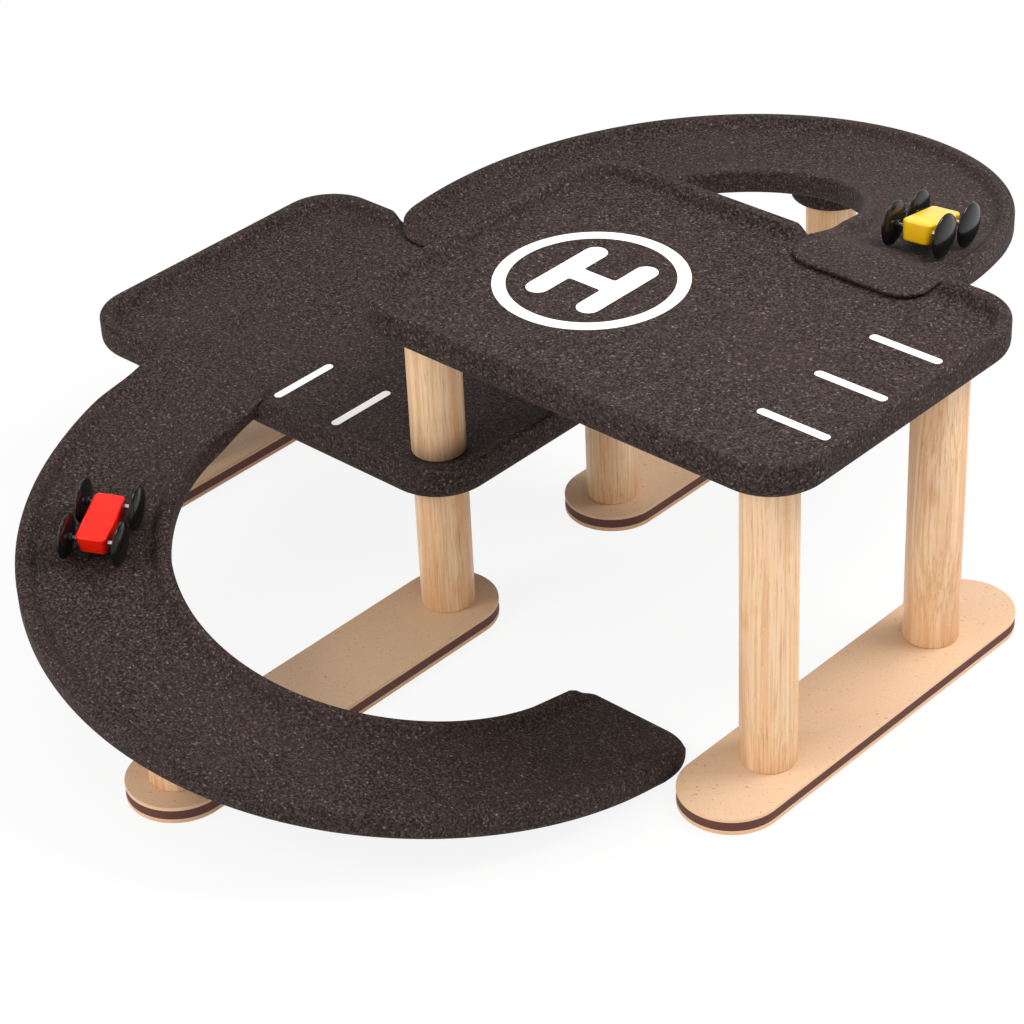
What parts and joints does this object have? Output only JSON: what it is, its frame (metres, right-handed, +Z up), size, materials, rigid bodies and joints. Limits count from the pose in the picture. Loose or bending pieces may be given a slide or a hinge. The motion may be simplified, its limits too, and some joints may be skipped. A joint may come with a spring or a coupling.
{
  "type": "toy parking garage",
  "caption": "Toy parking garage: rimmed decks on wooden posts over laminated foot strips, half-turn ramps between the levels, and small toy cars whose wheels turn.",
  "frame": {"origin": "on the floor, in the middle of the footprint", "axes": "+X along the two decks towards the higher one, +Y across them towards the upper ramp, +Z up"},
  "size_m": [0.517, 0.629, 0.217],
  "materials": {
    "composite": "matt moulded wood fibre, speckled",
    "rubberwood": "satin, open vertical grain",
    "foot_face": "satin, fine flecks",
    "foot_core": "matt, dark dyed layer",
    "yellow_paint": "gloss paint",
    "red_paint": "gloss paint",
    "black_gloss": "high gloss",
    "axle_steel": "bright drawn wire"
  },
  "bodies": {
    "garage": {"foot_ai_base": "foot_face", "foot_ai_core": "foot_core", "foot_ai_top": "foot_face", "foot_cd_base": "foot_face", "foot_cd_core": "foot_core", "foot_cd_top": "foot_face", "foot_ef_base": "foot_face", "foot_ef_core": "foot_core", "foot_ef_top": "foot_face", "foot_gh_base": "foot_face", "foot_gh_core": "foot_core", "foot_gh_top": "foot_face", "lower_deck": "composite", "lower_ramp": "composite", "post_a_lower": "rubberwood", "post_a_upper": "rubberwood", "post_c": "rubberwood", "post_d": "rubberwood", "post_e_lower": "rubberwood", "post_e_upper": "rubberwood", "post_f": "rubberwood", "post_g": "rubberwood", "post_h": "rubberwood", "post_i": "rubberwood", "upper_deck": "composite", "upper_ramp": "composite"},
    "yellow_car": {"yellow_body": "yellow_paint"},
    "yellow_front_wheels": {"yellow_front_axle": "axle_steel", "yellow_front_left_wheel": "black_gloss", "yellow_front_right_wheel": "black_gloss"},
    "yellow_rear_wheels": {"yellow_rear_axle": "axle_steel", "yellow_rear_left_wheel": "black_gloss", "yellow_rear_right_wheel": "black_gloss"},
    "red_car": {"red_body": "red_paint"},
    "red_front_wheels": {"red_front_axle": "axle_steel", "red_front_left_wheel": "black_gloss", "red_front_right_wheel": "black_gloss"},
    "red_rear_wheels": {"red_rear_axle": "axle_steel", "red_rear_left_wheel": "black_gloss", "red_rear_right_wheel": "black_gloss"}
  },
  "joints": [
    {"name": "yellow_lift", "type": "slide", "parent": "garage", "child": "yellow_car", "axis": [0, 0, 1], "range_m": [0, 0.1]},
    {"name": "yellow_front_spin", "type": "hinge", "parent": "yellow_car", "child": "yellow_front_wheels", "pos_m": [0.15915, 0.13967, 0.20443], "axis": [0.9921, 0.125, 0.0109], "continuous": true},
    {"name": "yellow_rear_spin", "type": "hinge", "parent": "yellow_car", "child": "yellow_rear_wheels", "pos_m": [0.15579, 0.16679, 0.19834], "axis": [0.9921, 0.125, 0.0109], "continuous": true},
    {"name": "red_lift", "type": "slide", "parent": "garage", "child": "red_car", "axis": [0, 0, 1], "range_m": [0, 0.1]},
    {"name": "red_front_spin", "type": "hinge", "parent": "red_car", "child": "red_front_wheels", "pos_m": [-0.09845, -0.23445, 0.09327], "axis": [0.878, 0.4764, -0.0475], "continuous": true},
    {"name": "red_rear_spin", "type": "hinge", "parent": "red_car", "child": "red_rear_wheels", "pos_m": [-0.11135, -0.21015, 0.09852], "axis": [0.878, 0.4764, -0.0475], "continuous": true}
  ]
}
